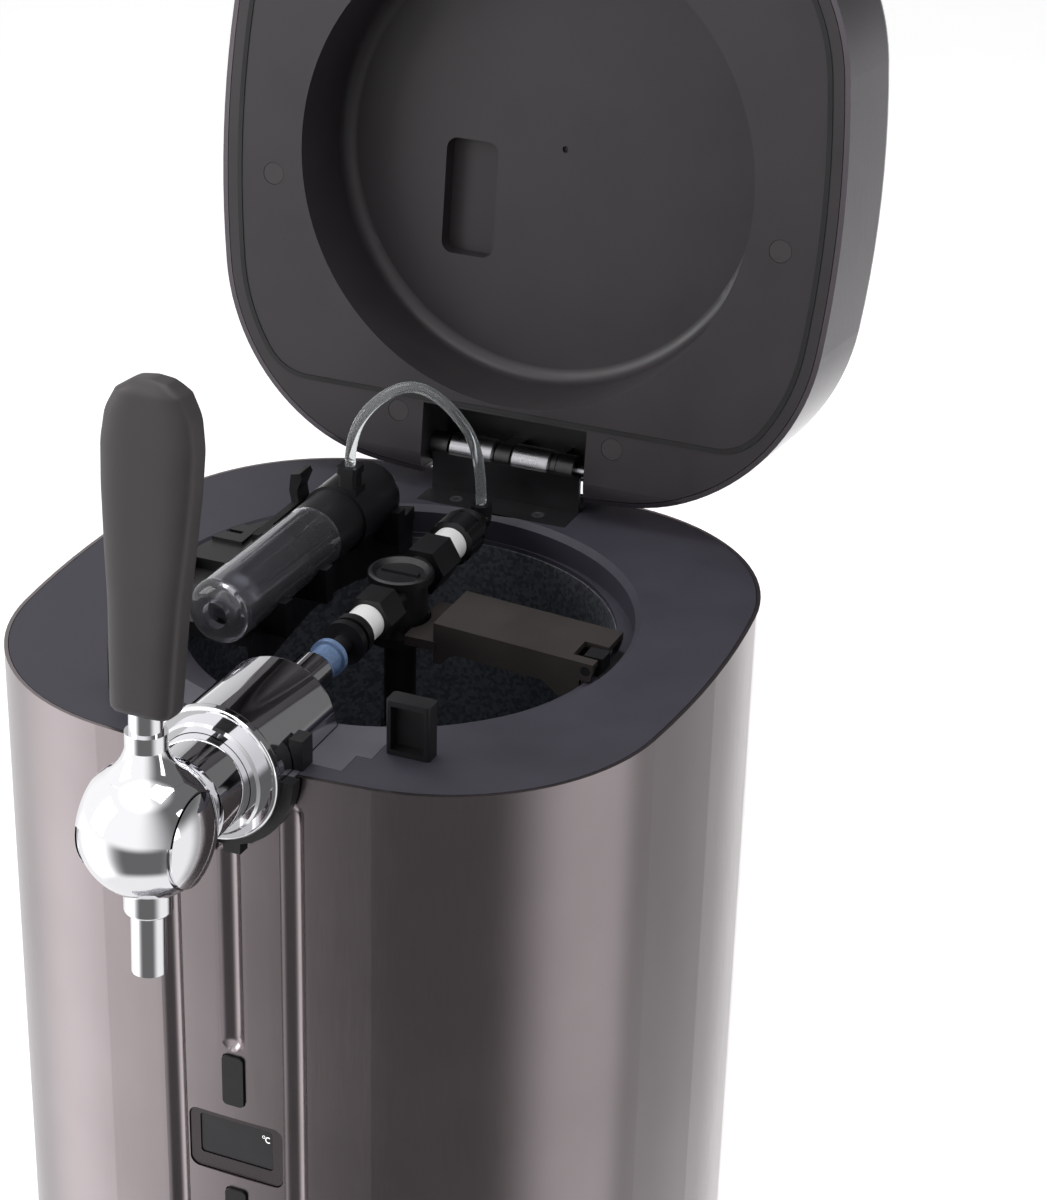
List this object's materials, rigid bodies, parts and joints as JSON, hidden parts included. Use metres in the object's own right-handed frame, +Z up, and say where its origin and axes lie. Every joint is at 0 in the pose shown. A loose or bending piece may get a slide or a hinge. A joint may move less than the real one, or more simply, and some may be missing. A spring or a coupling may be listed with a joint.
{
  "type": "mini keg beer dispenser",
  "caption": "Rounded-square cooled dispenser for a small keg, with a hinged lid, a chrome ball tap with a paddle handle, and a gas holder on the deck.",
  "frame": {"origin": "on the table plane, under the middle of the rounded-square body", "axes": "+Z up, +Y towards the back and the lid's hinge, the tap points along -Y, +X to the right seen from the front"},
  "size_m": [0.275, 0.442, 0.6521],
  "materials": {
    "shell_metal": "satin metallic",
    "deck_plastic": "matte",
    "saddle_plastic": "matte",
    "black_plastic": "matte",
    "liner_plastic": "matte",
    "lid_paint": "satin",
    "chrome": "polished",
    "handle_plastic": "soft matte",
    "white_plastic": "satin",
    "blue_plastic": "translucent",
    "clear_tube": "clear",
    "smoke_plastic": "smoked translucent",
    "well_metal": "rolled",
    "steel": "brushed",
    "rubber": "matte",
    "foam": "foam",
    "board": "printed board",
    "window_plastic": "gloss",
    "alloy": "cast",
    "cell": "matte",
    "satin_pin": "satin"
  },
  "bodies": {
    "machine": {"body_shell": "shell_metal", "base_pan": "black_plastic", "rubber_feet": "rubber", "rear_grille": "black_plastic", "top_deck": "deck_plastic", "tap_saddle": "saddle_plastic", "cooling_well": "well_metal", "well_insulation": "foam", "cold_block": "alloy", "peltier_module": "cell", "heat_sink": "alloy", "fan_frame": "black_plastic", "control_board": "board", "power_supply": "steel", "power_inlet": "black_plastic", "display_bezel": "shell_metal", "display_window": "window_plastic", "hinge_base": "black_plastic", "hinge_screws": "satin_pin", "hinge_pin": "satin_pin", "hinge_dampers": "satin_pin", "lid_catches": "black_plastic", "tap_body": "chrome", "tap_barrel": "chrome", "tap_flange": "chrome", "tap_spout": "chrome", "tap_side_caps": "chrome", "barrel_clips": "black_plastic", "push_fit_body": "chrome", "beer_stem": "black_plastic", "t_body": "black_plastic", "union_nuts": "black_plastic", "white_collars": "white_plastic", "elbow_nut": "black_plastic", "elbow_fitting": "black_plastic", "riser_tube": "black_plastic", "holder_cradle": "black_plastic", "co2_regulator": "black_plastic", "co2_cartridge": "steel", "tube_fitting": "black_plastic", "co2_tube": "clear_tube", "arm_bracket": "black_plastic"},
    "lid": {"lid_shell": "lid_paint", "lid_liner": "liner_plastic", "lid_gasket": "rubber", "lid_screw_caps": "liner_plastic", "lid_hinge_leaf": "black_plastic"},
    "handle": {"tap_hood": "chrome", "tap_handle": "handle_plastic"},
    "plunger": {"tap_plunger": "steel"},
    "collet": {"push_fit_collet": "blue_plastic"},
    "up_button": {"button_up": "black_plastic"},
    "down_button": {"button_down": "black_plastic"},
    "fan": {"fan_rotor": "black_plastic"},
    "arm": {"connector_arm": "liner_plastic"},
    "sleeve": {"co2_sleeve": "smoke_plastic"},
    "clip": {"co2_clip": "black_plastic"},
    "coupler_cap": {"t_cap": "black_plastic"},
    "tray": {"drip_tray": "black_plastic"},
    "grille": {"drip_grille": "steel"}
  },
  "joints": [
    {"name": "lid_hinge", "type": "hinge", "parent": "machine", "child": "lid", "pos_m": [0, 0.126, 0.39], "axis": [1, 0, 0], "range_deg": [0, 96.3], "deforming": ["co2_tube"]},
    {"name": "handle_turn", "type": "hinge", "parent": "machine", "child": "handle", "pos_m": [0, -0.1943, 0.3772], "axis": [1, 0, 0], "range_deg": [0, 40]},
    {"name": "plunger_slide", "type": "slide", "parent": "machine", "child": "plunger", "axis": [0, -0.999, 0.0436], "range_m": [0, 0.004]},
    {"name": "collet_slide", "type": "slide", "parent": "machine", "child": "collet", "axis": [0, -1, 0], "range_m": [0, 0.0015], "stiffness_N_per_m": 300},
    {"name": "up_press", "type": "slide", "parent": "machine", "child": "up_button", "axis": [0, 1, 0], "range_m": [0, 0.001], "stiffness_N_per_m": 400},
    {"name": "down_press", "type": "slide", "parent": "machine", "child": "down_button", "axis": [0, 1, 0], "range_m": [0, 0.001], "stiffness_N_per_m": 400},
    {"name": "fan_spin", "type": "hinge", "parent": "machine", "child": "fan", "pos_m": [0, 0.0115, 0.022], "axis": [0, 0, 1], "continuous": true},
    {"name": "arm_swing", "type": "hinge", "parent": "machine", "child": "arm", "pos_m": [0.086, 0.012, 0.368], "axis": [0, -1, 0], "range_deg": [-100, 0]},
    {"name": "sleeve_turn", "type": "hinge", "parent": "machine", "child": "sleeve", "pos_m": [-0.046, 0, 0.387], "axis": [0.0279, 0.9996, 0], "range_deg": [0, 360]},
    {"name": "clip_swing", "type": "hinge", "parent": "machine", "child": "clip", "pos_m": [-0.07, 0.035, 0.378], "axis": [0, 1, 0], "range_deg": [-50, 0]},
    {"name": "cap_turn", "type": "hinge", "parent": "machine", "child": "coupler_cap", "pos_m": [0, 0.0115, 0.385], "axis": [0, 0, 1], "range_deg": [0, 90]},
    {"name": "tray_slide", "type": "slide", "parent": "machine", "child": "tray", "axis": [0, 1, 0], "range_m": [-0.09, 0]},
    {"name": "grille_lift", "type": "slide", "parent": "tray", "child": "grille", "axis": [0, 0, -1], "range_m": [-0.03, 0]}
  ],
  "couplings": [
    {"joint": "plunger_slide", "follows": "handle_turn", "m_per_rad": 0.00572}
  ]
}
